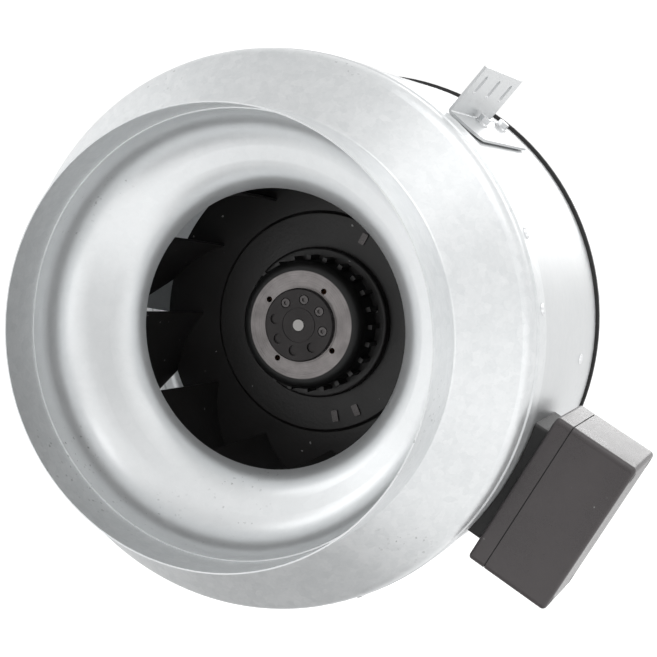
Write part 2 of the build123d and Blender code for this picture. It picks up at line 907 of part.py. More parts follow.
box_screw_places = [(box_mid_y, box_screw_z), (box_mid_y, -box_screw_z)]
cover_screw_places = [
    (box_mid_y + y * (box_length / 2 - cover_screw_inset), z * (box_width / 2 - cover_screw_inset))
    for y in (-1, 1)
    for z in (-1, 1)
]
lead_place = (lead_box_y, 0)
lead_hole = lead_radius + 2.0
pedestal_bottom = drum_radius - 14.0

with BuildPart() as box_pedestal:
    with BuildSketch(over_box(pedestal_bottom)):
        with Locations((box_mid_y, 0)):
            RectangleRounded(pedestal_length, pedestal_width, 3)
            RectangleRounded(
                pedestal_length - 2 * pedestal_wall,
                pedestal_width - 2 * pedestal_wall,
                1,
                mode=Mode.SUBTRACT,
            )
            Rectangle(pedestal_length - 2, pedestal_wall)
        with Locations(*box_screw_places):
            Circle(box_screw_radius + 3.0)
        with Locations((box_mid_y, box_screw_z), (box_mid_y, -box_screw_z)):
            Rectangle(pedestal_length - 2, pedestal_wall)
        with Locations(lead_place):
            Circle(lead_hole + 6, mode=Mode.SUBTRACT)
    extrude(amount=box_base_bottom - seat - pedestal_bottom)
    with BuildSketch(over_box(box_base_bottom - seat)):
        with Locations((box_mid_y, 0)):
            RectangleRounded(pedestal_length, pedestal_width, 3)
    extrude(amount=-pedestal_top)
    with BuildSketch(over_box(pedestal_bottom)):
        with Locations(*box_screw_places):
            Circle(box_screw_radius + seat)
        with Locations(lead_place):
            Circle(lead_hole + 4)
    extrude(amount=30, mode=Mode.SUBTRACT)
    with BuildSketch(across(box_start - 10)):
        Circle(drum_radius + seat)
    extrude(amount=-(box_length + 20), mode=Mode.SUBTRACT)
box_pedestal.part.label = "box_pedestal"
export_step(box_pedestal.part, "parts/box_pedestal.step")

tongue_top = gland_x + gland_tongue_width / 2
with BuildPart() as box_base:
    with BuildSketch(over_box(box_base_bottom)):
        with Locations((box_mid_y, 0)):
            RectangleRounded(box_length, box_width, box_corner)
    extrude(amount=box_base_height)
    fillet(box_base.faces().sort_by(Axis.X)[0].edges(), radius=base_edge)
    with BuildSketch(over_box(floor_top)):
        with Locations((box_mid_y, 0)):
            RectangleRounded(
                box_length - 2 * box_wall, box_width - 2 * box_wall, box_corner - box_wall
            )
        with Locations(*cover_screw_places):
            Circle(cover_boss_radius, mode=Mode.SUBTRACT)
    extrude(amount=box_base_height, mode=Mode.SUBTRACT)
    with BuildSketch(across(box_end - box_wall)):
        with Locations(((box_parting - 2 + gland_x) / 2, 0)):
            Rectangle(gland_x - box_parting + 2, gland_tongue_width)
        with Locations((gland_x, 0)):
            Circle(gland_tongue_width / 2)
    extrude(amount=-box_wall)
    with BuildSketch(across(box_end - 2 * box_wall)):
        with Locations((gland_x, 0)):
            Circle(gland_thread_radius)
    extrude(amount=-3 * box_wall, mode=Mode.SUBTRACT)
    with BuildSketch(over_box(box_base_bottom - 1)):
        with Locations(*box_screw_places):
            Circle(box_screw_radius + seat)
        with Locations(lead_place):
            Circle(lead_hole)
        with Locations((earth_screw_y, earth_screw_z)):
            Circle(m4_radius + seat)
    extrude(amount=box_floor + 2, mode=Mode.SUBTRACT)
    with BuildSketch(over_box(box_parting)):
        with Locations(*cover_screw_places):
            Circle(cover_screw_radius + thread_gap)
    extrude(amount=-9, mode=Mode.SUBTRACT)
box_base.part.label = "box_base"
export_step(box_base.part, "parts/box_base.step")

with BuildPart() as box_screws:
    for y, z in box_screw_places:
        with BuildSketch(over_box(floor_top + seat)):
            with Locations((y, z)):
                Circle(box_screw_head_radius)
        extrude(amount=2.2, taper=15)
        with BuildSketch(over_box(floor_top + seat)):
            with Locations((y, z)):
                Circle(box_screw_radius)
        extrude(amount=-20)
        with BuildSketch(over_box(floor_top + seat + 1.0)):
            with Locations((y, z)):
                Rectangle(6, 1)
                Rectangle(1, 6)
        extrude(amount=3, mode=Mode.SUBTRACT)
box_screws.part.label = "box_screws"
export_step(box_screws.part, "parts/box_screws.step")

# The gasket lies on the base's rim and stops each side of the gland tongue.
with BuildPart() as box_gasket:
    with BuildSketch(over_box(box_parting + seat)):
        with Locations((box_mid_y, 0)):
            RectangleRounded(
                box_length - 2 * gasket_inset, box_width - 2 * gasket_inset, box_corner - gasket_inset
            )
            RectangleRounded(
                box_length - 2 * gasket_inset - 2 * gasket_width,
                box_width - 2 * gasket_inset - 2 * gasket_width,
                box_corner - gasket_inset - gasket_width,
                mode=Mode.SUBTRACT,
            )
        with Locations((box_end, 0)):
            Rectangle(4 * box_wall, gland_tongue_width + 1, mode=Mode.SUBTRACT)
    extrude(amount=parting_gap - 4 * seat)
box_gasket.part.label = "box_gasket"
export_step(box_gasket.part, "parts/box_gasket.step")

cover_bottom = box_parting + parting_gap
tongue_gap = 0.4
with BuildPart() as box_cover:
    with BuildSketch(over_box(cover_bottom)):
        with Locations((box_mid_y, 0)):
            RectangleRounded(box_length, box_width, box_corner)
    extrude(amount=box_top - cover_bottom)
    fillet(box_cover.faces().sort_by(Axis.X)[-1].edges(), radius=cover_edge)
    with BuildSketch(over_box(cover_bottom)):
        with Locations((box_mid_y, 0)):
            RectangleRounded(
                box_length - 2 * box_wall, box_width - 2 * box_wall, box_corner - box_wall
            )
        with Locations(*cover_screw_places):
            Circle(cover_boss_radius, mode=Mode.SUBTRACT)
    extrude(amount=box_top - box_wall - cover_bottom, mode=Mode.SUBTRACT)
    with BuildSketch(over_box(cover_bottom - 1)):
        with Locations(*cover_screw_places):
            Circle(cover_screw_radius + seat)
    extrude(amount=box_cover_height + 4, mode=Mode.SUBTRACT)
    with BuildSketch(over_box(box_top)):
        with Locations(*cover_screw_places):
            Circle(cover_screw_head_radius + thread_gap)
    extrude(amount=-cover_screw_head - 1, mode=Mode.SUBTRACT)
    with BuildSketch(across(box_end - 2 * box_wall)):
        with Locations(((cover_bottom - 2 + gland_x) / 2, 0)):
            Rectangle(gland_x - cover_bottom + 2, gland_tongue_width + 2 * tongue_gap)
        with Locations((gland_x, 0)):
            Circle(gland_tongue_width / 2 + tongue_gap)
    extrude(amount=-3 * box_wall, mode=Mode.SUBTRACT)
box_cover.part.label = "box_cover"
export_step(box_cover.part, "parts/box_cover.step")

with BuildPart() as cover_screws:
    head_seat = box_top - cover_screw_head - 1 + seat
    for y, z in cover_screw_places:
        with BuildSketch(over_box(head_seat)):
            with Locations((y, z)):
                Circle(cover_screw_head_radius)
        extrude(amount=cover_screw_head)
        with BuildSketch(over_box(head_seat + cover_screw_head)):
            with Locations((y, z)):
                Rectangle(5, 1)
                Rectangle(1, 5)
        extrude(amount=-1.4, mode=Mode.SUBTRACT)
        with BuildSketch(over_box(head_seat)):
            with Locations((y, z)):
                Circle(cover_screw_radius)
        extrude(amount=box_parting - 7 - head_seat)
cover_screws.part.label = "cover_screws"
export_step(cover_screws.part, "parts/cover_screws.step")

# ---- Inside the box: terminals, capacitor and earth screw ----

terminal_start = box_start + box_wall + 4.0
terminal_bottom = floor_top + seat
terminal_pitch = terminal_width / terminal_ways
terminal_zs = [
    terminal_z + terminal_pitch * (way - (terminal_ways - 1) / 2) for way in range(terminal_ways)
]
with BuildPart() as terminal_block:
    with BuildSketch(over_box(terminal_bottom)):
        with Locations((terminal_start + terminal_depth / 2, terminal_z)):
            Rectangle(terminal_depth, terminal_width)
    extrude(amount=terminal_height)
    chamfer(terminal_block.faces().sort_by(Axis.X)[-1].edges().filter_by(Axis.Z), length=3)
    with BuildSketch(over_box(terminal_bottom + terminal_height)):
        for z in terminal_zs:
            with Locations((terminal_start + terminal_depth / 2, z)):
                Circle(terminal_screw_radius + 0.6)
    extrude(amount=-9, mode=Mode.SUBTRACT)
    with BuildSketch(across(terminal_start)):
        for z in terminal_zs:
            with Locations((terminal_bottom + 6, z)):
                Circle(2)
    extrude(amount=-6, mode=Mode.SUBTRACT)
terminal_block.part.label = "terminal_block"
export_step(terminal_block.part, "parts/terminal_block.step")

with BuildPart() as terminal_screws:
    screw_seat = terminal_bottom + terminal_height - 9 + seat
    for z in terminal_zs:
        with BuildSketch(over_box(screw_seat)):
            with Locations((terminal_start + terminal_depth / 2, z)):
                Circle(terminal_screw_radius)
        extrude(amount=5)
        with BuildSketch(over_box(screw_seat + 5)):
            with Locations((terminal_start + terminal_depth / 2, z)):
                Rectangle(5, 0.8)
        extrude(amount=-1.2, mode=Mode.SUBTRACT)
terminal_screws.part.label = "terminal_screws"
export_step(terminal_screws.part, "parts/terminal_screws.step")

capacitor_x = floor_top + capacitor_radius + capacitor_strap + 1.5
capacitor_start = box_start + box_wall + 5.0
with BuildPart() as run_capacitor:
    with BuildSketch(across(capacitor_start)):
        with Locations((capacitor_x, capacitor_z)):
            Circle(capacitor_radius)
    extrude(amount=-capacitor_length)
    fillet(run_capacitor.edges().filter_by(GeomType.CIRCLE), radius=2)
    with BuildSketch(across(capacitor_start + capacitor_length - 1)):
        with Locations((capacitor_x, capacitor_z)):
            Circle(3)
    extrude(amount=-6)
run_capacitor.part.label = "run_capacitor"
export_step(run_capacitor.part, "parts/run_capacitor.step")

with BuildPart() as capacitor_clip:
    strap = capacitor_radius + capacitor_strap
    foot_height = capacitor_x - floor_top - seat
    with BuildSketch(across(capacitor_start + capacitor_length / 2 - 6)):
        with Locations((capacitor_x, capacitor_z)):
            Circle(strap)
        with Locations((floor_top + seat + foot_height / 2, capacitor_z)):
            Rectangle(foot_height, strap / 2)
        with Locations((capacitor_x, capacitor_z)):
            Circle(capacitor_radius + seat, mode=Mode.SUBTRACT)
    extrude(amount=-12)
capacitor_clip.part.label = "capacitor_clip"
export_step(capacitor_clip.part, "parts/capacitor_clip.step")

with BuildPart() as earth_screw:
    with BuildSketch(over_box(floor_top + seat)):
        with Locations((earth_screw_y, earth_screw_z)):
            RegularPolygon(m4_head_radius, 6, major_radius=False)
    extrude(amount=3)
    with BuildSketch(over_box(floor_top + seat)):
        with Locations((earth_screw_y, earth_screw_z)):
            Circle(m4_radius)
    extrude(amount=-box_floor)
earth_screw.part.label = "earth_screw"
export_step(earth_screw.part, "parts/earth_screw.step")

# ---- Cable gland in the base's tongue ----

gland_face = box_end + seat
gland_nut_start = gland_face + gland_flange + 1.0
gland_end = gland_nut_start + 15.0
with BuildPart() as gland_body:
    with BuildSketch(across(gland_face)):
        with Locations((gland_x, 0)):
            RegularPolygon(gland_hex / 2, 6, major_radius=False)
    extrude(amount=-gland_flange)
    with BuildSketch(across(gland_face - box_wall - 8)):
        with Locations((gland_x, 0)):
            Circle(gland_thread_radius - seat)
    extrude(amount=-(box_wall + 8))
    with BuildSketch(across(gland_face + gland_flange)):
        with Locations((gland_x, 0)):
            Circle(gland_outer_thread)
    extrude(amount=-10)
    with BuildSketch(across(box_start)):
        with Locations((gland_x, 0)):
            Circle(gland_bore_radius)
    extrude(amount=-2 * box_length, mode=Mode.SUBTRACT)
gland_body.part.label = "gland_body"
export_step(gland_body.part, "parts/gland_body.step")

with BuildPart() as gland_locknut:
    with BuildSketch(across(box_end - box_wall - seat)):
        with Locations((gland_x, 0)):
            RegularPolygon(gland_hex / 2 + 1, 6, major_radius=False)
            Circle(gland_thread_radius, mode=Mode.SUBTRACT)
    extrude(amount=4.5)
gland_locknut.part.label = "gland_locknut"
export_step(gland_locknut.part, "parts/gland_locknut.step")

with BuildPart() as gland_seal:
    with BuildSketch(across(gland_face + gland_flange + 1)):
        with Locations((gland_x, 0)):
            Circle(gland_bore_radius - seat)
            Circle(gland_cable_radius, mode=Mode.SUBTRACT)
    extrude(amount=-9)
gland_seal.part.label = "gland_seal"
export_step(gland_seal.part, "parts/gland_seal.step")

with BuildPart() as gland_nut:
    with BuildSketch(across(gland_nut_start)):
        with Locations((gland_x, 0)):
            RegularPolygon(gland_hex / 2 - 0.5, 6, major_radius=False)
    extrude(amount=gland_nut_start - gland_end)
    fillet(gland_nut.faces().sort_by(Axis.Y)[-1].edges(), radius=3)
    with BuildSketch(across(gland_nut_start)):
        with Locations((gland_x, 0)):
            Circle(gland_outer_thread + seat)
    extrude(amount=-10, mode=Mode.SUBTRACT)
    with BuildSketch(across(gland_nut_start)):
        with Locations((gland_x, 0)):
            Circle(gland_bore_radius)
    extrude(amount=gland_nut_start - gland_end, mode=Mode.SUBTRACT)
gland_nut.part.label = "gland_nut"
export_step(gland_nut.part, "parts/gland_nut.step")

# ---- Motor lead: out of the motor, along a support arm, forward and into the box ----

lead_run_y = support_y + lead_behind_support
lead_wall_radius = drum_inner - 11.0
lead_x, lead_z = polar(lead_start_radius, lead_angle)
arm_x, arm_z = polar(drum_inner - 32, lead_angle)
turn_x, turn_z = polar(lead_wall_radius - 2, 9)
lead_points = [
    (lead_x, flange_front + 1, lead_z),
    (lead_x, lead_run_y, lead_z),
    (arm_x, lead_run_y, arm_z),
    (turn_x, lead_run_y - 3, turn_z),
    (lead_wall_radius, lead_run_y - 38, 0),
    (lead_wall_radius, lead_box_y, 0),
    (floor_top + 11, lead_box_y, 0),
    (floor_top + 11, terminal_start + terminal_depth + seat, 0),
]
lead_bends = []
for before, corner, after in zip(lead_points, lead_points[1:], lead_points[2:]):
    run_in = Vector(*corner) - Vector(*before)
    run_out = Vector(*after) - Vector(*corner)
    shorter = min(run_in.length, run_out.length)
    half_turn = radians(run_in.get_angle(run_out)) / 2
    lead_bends.append(0.45 * shorter * cos(half_turn) / sin(half_turn))
print("lead bends", [round(bend, 1) for bend in lead_bends])
with BuildPart() as motor_lead:
    with BuildLine() as lead_path:
        FilletPolyline(*lead_points, radius=lead_bends)
    with BuildSketch(Plane(origin=lead_points[0], z_dir=(0, 1, 0))):
        Circle(lead_radius)
    sweep()
lead_length = lead_path.wires()[0].length
lead_share = motor_lead.part.volume / (pi * lead_radius**2 * lead_length)
print("lead length", round(lead_length, 1), "volume over section times length", round(lead_share, 4))
motor_lead.part.label = "motor_lead"
export_step(motor_lead.part, "parts/motor_lead.step")

with BuildPart() as lead_clips:
    clip_foot = lead_run_y - support_y - support_thickness - seat
    for radius in (85, 135):
        with BuildSketch(outward(lead_angle, lead_run_y, radius)):
            Circle(lead_radius + 1.6)
            with Locations((-clip_foot / 2, 0)):
                Rectangle(clip_foot, 5)
            with Locations((1 - clip_foot, 0)):
                Rectangle(2, 12)
            Circle(lead_radius + seat, mode=Mode.SUBTRACT)
        extrude(amount=8)
lead_clips.part.label = "lead_clips"
export_step(lead_clips.part, "parts/lead_clips.step")

with BuildPart() as lead_grommet:
    for start, end, radius in (
        (box_base_bottom - 1.6, box_base_bottom - seat, lead_hole + 1.6),
        (box_base_bottom - 1, floor_top + 1, lead_hole - seat),
        (floor_top + seat, floor_top + 1.6, lead_hole + 1.6),
    ):
        with BuildSketch(over_box(start)):
            with Locations(lead_place):
                Circle(radius)
        extrude(amount=end - start)
    with BuildSketch(over_box(box_base_bottom - 5)):
        with Locations(lead_place):
            Circle(lead_radius + seat)
    extrude(amount=20, mode=Mode.SUBTRACT)
lead_grommet.part.label = "lead_grommet"
export_step(lead_grommet.part, "parts/lead_grommet.step")
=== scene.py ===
"""Inline fan for round duct: its finishes, its light and its view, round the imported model.

Everything is in metres in the part's own frame: the duct runs along Y, air comes in at
y = 0, the terminal box is on the +X side and Z is up.
"""

import bmesh
import bpy
from math import radians
from mathutils import Matrix, Vector


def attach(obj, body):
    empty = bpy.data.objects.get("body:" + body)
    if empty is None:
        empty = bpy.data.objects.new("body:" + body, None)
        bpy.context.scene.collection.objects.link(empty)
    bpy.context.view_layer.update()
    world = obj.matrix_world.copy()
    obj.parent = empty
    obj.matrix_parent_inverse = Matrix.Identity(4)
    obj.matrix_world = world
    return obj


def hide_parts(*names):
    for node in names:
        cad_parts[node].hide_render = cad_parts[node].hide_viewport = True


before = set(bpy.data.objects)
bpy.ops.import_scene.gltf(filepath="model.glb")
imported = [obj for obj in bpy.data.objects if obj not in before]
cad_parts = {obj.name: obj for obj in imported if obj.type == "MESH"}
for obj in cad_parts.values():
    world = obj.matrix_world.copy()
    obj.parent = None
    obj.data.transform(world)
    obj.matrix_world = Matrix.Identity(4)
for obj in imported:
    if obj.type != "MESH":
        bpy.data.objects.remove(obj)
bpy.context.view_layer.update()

# ---- Camera ----
# A long lens a metre in front of the inlet, a little above it and to the right, leaning
# over so that the terminal box hangs low and the bracket stands at the top right.
lens_mm = 79.45
sensor_mm = 36.0
camera_place = Vector((0.3208, -0.8630, 0.2825))
camera_right = Vector((0.7942, 0.3616, 0.4884))
camera_up = Vector((-0.5435, 0.0632, 0.8370))
camera_ahead = Vector((-0.2718, 0.9302, -0.2467))

camera = bpy.data.objects.new("camera", bpy.data.cameras.new("camera"))
camera.data.lens = lens_mm
camera.data.sensor_width = sensor_mm
turned = Matrix((camera_right, camera_up, -camera_ahead)).transposed()
camera.matrix_world = Matrix.Translation(camera_place) @ turned.to_4x4()
bpy.context.scene.collection.objects.link(camera)
bpy.context.scene.camera = camera
bpy.context.scene.view_settings.view_transform = "Standard"

# ---- Studio ----
# White walls and a white floor all round, a little darker where the camera stands, on
# the left above and under the bench, so that the bright sheet has something to show.


class Wire:
    """One output of a shader node. Arithmetic on it adds Math nodes."""

    def __init__(self, tree, socket):
        self.tree = tree
        self.socket = socket

    def node(self, kind, settings, sockets, output=0):
        """Any other node: its type, its settings, and its sockets' values or links."""
        made = self.tree.nodes.new(kind)
        for name, value in settings.items():
            if name == "stops":
                while len(made.color_ramp.elements) < len(value):
                    made.color_ramp.elements.new(1.0)
                for stop, (spot, shade) in zip(made.color_ramp.elements, value):
                    stop.position = spot
                    stop.color = shade
            else:
                setattr(made, name, value)
        for name, value in sockets.items():
            if isinstance(value, Wire):
                self.tree.links.new(value.socket, made.inputs[name])
            else:
                made.inputs[name].default_value = value
        return Wire(self.tree, made.outputs[output])

    def math(self, operation, *values):
        return self.node("ShaderNodeMath", {"operation": operation}, dict(enumerate(values)))

    def __add__(self, other):
        return self.math("ADD", self, other)

    def __sub__(self, other):
        return self.math("SUBTRACT", self, other)

    def __rsub__(self, other):
        return self.math("SUBTRACT", other, self)

    def __mul__(self, other):
        return self.math("MULTIPLY", self, other)

    def __truediv__(self, other):
        return self.math("DIVIDE", self, other)

    def __pow__(self, other):
        return self.math("POWER", self, other)

    __radd__ = __add__
    __rmul__ = __mul__

    def parts(self):
        """The x, y and z of a vector."""
        split = self.node("ShaderNodeSeparateXYZ", {}, {"Vector": self})
        return [Wire(self.tree, output) for output in split.socket.node.outputs]

    def rise(self, low, high):
        """0 below low and 1 above high, with a smooth step between."""
        return self.node(
            "ShaderNodeMapRange",
            {"interpolation_type": "SMOOTHSTEP"},
            {"Value": self, "From Min": low, "From Max": high},
        )

    def between(self, first, second):
        """The colour first where this is 0, and second where it is 1."""
        ends = [(*shade, 1.0) if isinstance(shade, tuple) else shade for shade in (first, second)]
        return self.node(
            "ShaderNodeMix",
            {"data_type": "RGBA", "clamp_factor": True},
            {0: self, 6: ends[0], 7: ends[1]},
            output=2,
        )


studio = bpy.data.worlds.new("studio")
studio.use_nodes = True
bpy.context.scene.world = studio
backdrop = studio.node_tree.nodes["Background"]
studio_place = studio.node_tree.nodes.new("ShaderNodeTexCoord")
looking = Wire(studio.node_tree, studio_place.outputs["Generated"])


def facing(direction, near, wide):
    """How far the studio's wall at this point lies towards a direction, 0 to 1."""
    lean = looking.node(
        "ShaderNodeVectorMath",
        {"operation": "DOT_PRODUCT"},
        {0: looking, 1: Vector(direction).normalized()},
        output=1,
    )
    return lean.rise(wide, near)


wall_white = 1.04
camera_wall_loss = 0.42
left_wall_loss = 0.30
behind_camera = facing((0.22, -1.0, -0.10), 0.99, 0.62)
left_above = facing((-0.70, -0.15, 0.70), 0.97, 0.60)
brightness = wall_white - camera_wall_loss * behind_camera - left_wall_loss * left_above
studio.node_tree.links.new(brightness.socket, backdrop.inputs["Strength"])
backdrop.inputs["Color"].default_value = (1.0, 1.0, 1.0, 1.0)



def stage_sheet(name, centre, half):
    """A level square of the stage, with its material and that material's shader."""
    shape = bmesh.new()
    bmesh.ops.create_grid(shape, x_segments=1, y_segments=1, size=half)
    bmesh.ops.translate(shape, verts=shape.verts, vec=centre)
    mesh = bpy.data.meshes.new(name)
    shape.to_mesh(mesh)
    shape.free()
    sheet = bpy.data.objects.new(name, mesh)
    bpy.context.scene.collection.objects.link(sheet)
    surface = bpy.data.materials.new(name + "_surface")
    surface.use_nodes = True
    mesh.materials.append(surface)
    return sheet, surface.node_tree, surface.node_tree.nodes["Principled BSDF"]


floor_centre = (0.0, 2.0, -0.75)
floor_half = 9.0
floor_paint = stage_sheet("floor", floor_centre, floor_half)[2]
floor_paint.inputs["Base Color"].default_value = (0.92, 0.92, 0.92, 1.0)
floor_paint.inputs["Roughness"].default_value = 0.9
floor_paint.inputs["Emission Color"].default_value = (1.0, 1.0, 1.0, 1.0)
floor_paint.inputs["Emission Strength"].default_value = 0.25

# Painted shadow: a glowing card under the fan that only reflections see. It is dark in the
# middle, where the fan's shadow would fall on the bench, and fades to the floor's white at its
# edge. It darkens the sheet's underside.
card_centre = Vector((0.35, 0.1, -0.70))
card_half = 1.1
card_dark = 0.30
card_light = 1.10
card_inner = 0.25
card_outer = 0.95
card, card_tree, card_paint = stage_sheet("grey_card", card_centre, card_half)
card.visible_camera = False
card.visible_diffuse = False
card.visible_transmission = False
card.visible_shadow = False
card_paint.inputs["Base Color"].default_value = (0.0, 0.0, 0.0, 1.0)
card_paint.inputs["Specular IOR Level"].default_value = 0.0
card_paint.inputs["Emission Strength"].default_value = 1.0
card_place = Wire(card_tree, card_tree.nodes.new("ShaderNodeTexCoord").outputs["Object"])
from_centre = card_place.node(
    "ShaderNodeVectorMath", {"operation": "DISTANCE"}, {0: card_place, 1: card_centre}, output=1
)
card_open = from_centre.rise(card_inner, card_outer)
# The card's glow is a painted shadow: dark at the centre and floor white at the edge.
painted_shadow_tone = card_open.between((card_dark,) * 3, (card_light,) * 3)
card_tree.links.new(painted_shadow_tone.socket, card_paint.inputs["Emission Color"])


def soft_light(name, place, aim, width, height, watts):
    """A soft box: a rectangular lamp that faces a point."""
    lamp = bpy.data.lights.new(name, "AREA")
    lamp.shape = "RECTANGLE"
    lamp.size = width
    lamp.size_y = height
    lamp.energy = watts
    holder = bpy.data.objects.new(name, lamp)
    holder.location = place
    holder.rotation_euler = (Vector(aim) - Vector(place)).to_track_quat("-Z", "Y").to_euler()
    bpy.context.scene.collection.objects.link(holder)


soft_light("top_box", (0.3, 0.0, 2.0), (0.0, 0.2, 0.0), 1.4, 1.4, 7)
soft_light("right_box", (1.9, -0.3, 0.6), (0.0, 0.2, 0.0), 0.9, 1.4, 2.5)
soft_light("left_box", (-1.9, -0.6, 0.2), (0.0, 0.1, 0.0), 0.8, 1.4, 4)
soft_light("back_box", (-0.2, 2.6, 0.75), (0.24, 0.15, 0.0), 1.3, 0.9, 8)

# ---- Galvanised sheet: the casing, the support and the bracket ----
# Hot-dip zinc on 1 mm steel. It has a faint spangle of grains, cloudy patches, fine
# rings from the spinning and rolling, and small pits here and there.


def new_finish(name, **constants):
    """A material, a wire with the place on the object, and a setter for its sockets."""
    material = bpy.data.materials.new(name)
    material.use_nodes = True
    tree = material.node_tree
    shader = tree.nodes["Principled BSDF"]
    for socket, value in constants.items():
        shader.inputs[socket.replace("_", " ")].default_value = value
    place = Wire(tree, tree.nodes.new("ShaderNodeTexCoord").outputs["Object"])

    def paint(**wires):
        for socket, value in wires.items():
            tree.links.new(value.socket, shader.inputs[socket.replace("_", " ")])

    return material, place, paint


def noise(place, scale, detail=2.0, roughness=0.5, distortion=0.0):
    return place.node(
        "ShaderNodeTexNoise",
        {},
        {
            "Vector": place,
            "Scale": scale,
            "Detail": detail,
            "Roughness": roughness,
            "Distortion": distortion,
        },
    )


def grains(place, scale, spread=1.0):
    """Cells with sharp borders. Gives each cell's own random value."""
    colour = place.node(
        "ShaderNodeTexVoronoi",
        {"feature": "F1"},
        {"Vector": place, "Scale": scale, "Randomness": spread},
        output=1,
    )
    return colour.node("ShaderNodeSeparateColor", {}, {"Color": colour})


def turned_lines(place):
    """The place as (radius, y, 0): a pattern on it runs in rings round the duct."""
    x, y, z = place.parts()
    radius = (x * x + z * z) ** 0.5
    return place.node("ShaderNodeCombineXYZ", {}, {"X": radius, "Y": y})


def bumped(place, height, strength, distance):
    return place.node(
        "ShaderNodeBump", {}, {"Height": height, "Strength": strength, "Distance": distance}
    )


def bent_place(place, scale, amount):
    """The place pushed about by noise, so that grains have ragged borders."""
    push = place.node(
        "ShaderNodeTexNoise", {}, {"Vector": place, "Scale": scale, "Detail": 2.0}, output=1
    )
    pushed = place.node(
        "ShaderNodeVectorMath", {"operation": "SCALE"}, {0: push, "Scale": amount}
    )
    return place.node("ShaderNodeVectorMath", {"operation": "ADD"}, {0: place, 1: pushed})


spangle_coarse = 150.0
spangle_fine = 420.0
spinning_rings = 900.0
pit_size = 700.0
pit_share = 0.965
zinc_dull = (0.60, 0.62, 0.63)
zinc_bright = (0.84, 0.85, 0.855)
pit_colour = (0.30, 0.31, 0.31)


def zinc_sheet(name, spangle, shine, brightness):
    """Galvanised sheet. spangle is how much the grains show, shine the roughness. brightness
    scales the colour: partly the sheet's own tone, partly painted light above 1 and painted shade
    below 1.
    """
    material, place, paint = new_finish(name, Metallic=0.72)
    ragged = bent_place(place, 240.0, 0.004)
    coarse = grains(ragged, spangle_coarse)
    fine = grains(ragged, spangle_fine)
    clouds = noise(place, 7.0, 4.0)
    mottle = noise(place, 60.0, 3.0, 0.65)
    rings = noise(turned_lines(place), spinning_rings, 2.0)
    grain = coarse * 0.6 + fine * 0.4
    tone = 0.5 + (grain - 0.5) * spangle + (clouds - 0.5) * 0.6 + (mottle - 0.5) * 0.5 * spangle
    pits = (grains(place, pit_size) - pit_share) * 30.0
    worn = noise(place, 11.0, 2.0).rise(0.56, 0.68) * pits.rise(0.0, 1.0)
    dull, bright = (
        tuple(part * brightness for part in shade) for shade in (zinc_dull, zinc_bright)
    )
    zinc = tone.between(dull, bright)
    paint(
        Base_Color=(worn * 0.55).between(zinc, pit_colour),
        Roughness=shine + (grain - 0.5) * 0.16 * spangle + (clouds - 0.5) * 0.10 + rings * 0.05,
        Normal=bumped(place, clouds * 0.9 + rings * 0.012 + mottle * 0.05, 0.35, 0.0025),
    )
    return material


def wear(finish, *nodes):
    """Gives a finish to CAD nodes that keep their own shape."""
    for node in nodes:
        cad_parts[node].data.materials.clear()
        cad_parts[node].data.materials.append(finish)


# The spun inlet's zinc is made lighter than the cones, and the rolled drum, support and bracket
# darker. This is partly each sheet's own tone, partly painted light on the inlet and painted
# shade on the strongly lit drum.
zinc_cone = zinc_sheet("zinc_cone", 0.34, 0.36, 1.0)
zinc_spun = zinc_sheet("zinc_spun", 0.12, 0.28, 1.14)
zinc_rolled = zinc_sheet("zinc_rolled", 0.18, 0.34, 0.88)
wear(zinc_cone, "inlet_shell", "outlet_shell")
wear(zinc_spun, "inlet_bellmouth")
wear(zinc_rolled, "drum", "motor_support", "mounting_bracket")

# ---- Fixings ----
# Bright zinc-plated steel rivets, screws and clips.
plated, place, paint = new_finish("zinc_plating", Metallic=1.0)
smudge = noise(place, 300.0, 3.0)
paint(
    Base_Color=smudge.between((0.62, 0.63, 0.64), (0.84, 0.85, 0.86)),
    Roughness=0.24 + smudge * 0.18,
    Normal=bumped(place, noise(place, 1500.0, 2.0), 0.2, 0.0003),
)
wear(
    plated,
    "lip_rivets",
    "joint_rivets",
    "support_rivets",
    "flange_screws",
    "bracket_screws",
    "box_screws",
    "cover_screws",
    "capacitor_clip",
    "earth_screw",
    "lead_clips",
)

# ---- Rubber ----
# Black rubber: the joint strip, the box gasket, the gland's seal and the grommet.
rubber, place, paint = new_finish("seal_rubber")
bloom = noise(place, 180.0, 4.0)
paint(
    Base_Color=bloom.between((0.010, 0.010, 0.010), (0.035, 0.034, 0.034)),
    Roughness=0.55 + bloom * 0.25,
    Normal=bumped(place, noise(place, 2200.0, 2.0), 0.25, 0.0002),
)
wear(rubber, "joint_seal", "box_gasket", "gland_seal", "lead_grommet", "shaft_clip")

# ---- Terminal box ----
# Dark grey polycarbonate with a fine spark-eroded skin, and pale scuffs. Mould edges are
# never sharp, so the two halves have a small round on every edge.
hard_edge = radians(32.0)
box_round = 0.0009
pedestal_round = 0.0005


def softened(node, body, finish, round_off):
    """A merged copy of a CAD node with its hard edges rounded, in the node's place."""
    shape = bmesh.new()
    shape.from_mesh(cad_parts[node].data)
    bmesh.ops.remove_doubles(shape, verts=shape.verts, dist=2e-6)
    bmesh.ops.dissolve_limit(
        shape, angle_limit=radians(1.0), verts=shape.verts, edges=shape.edges
    )
    for face in shape.faces:
        face.smooth = True
    for edge in shape.edges:
        edge.smooth = edge.calc_face_angle(0.0) < hard_edge
    mesh = bpy.data.meshes.new(node + "_softened")
    shape.to_mesh(mesh)
    shape.free()
    mesh.materials.clear()
    mesh.materials.append(finish)
    piece = bpy.data.objects.new(node + "_softened", mesh)
    bpy.context.scene.collection.objects.link(piece)
    rounding = piece.modifiers.new("rounding", "BEVEL")
    rounding.width = round_off
    rounding.segments = 3
    rounding.limit_method = "ANGLE"
    rounding.angle_limit = hard_edge
    rounding.harden_normals = True
    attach(piece, body)
    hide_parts(node)
    return piece


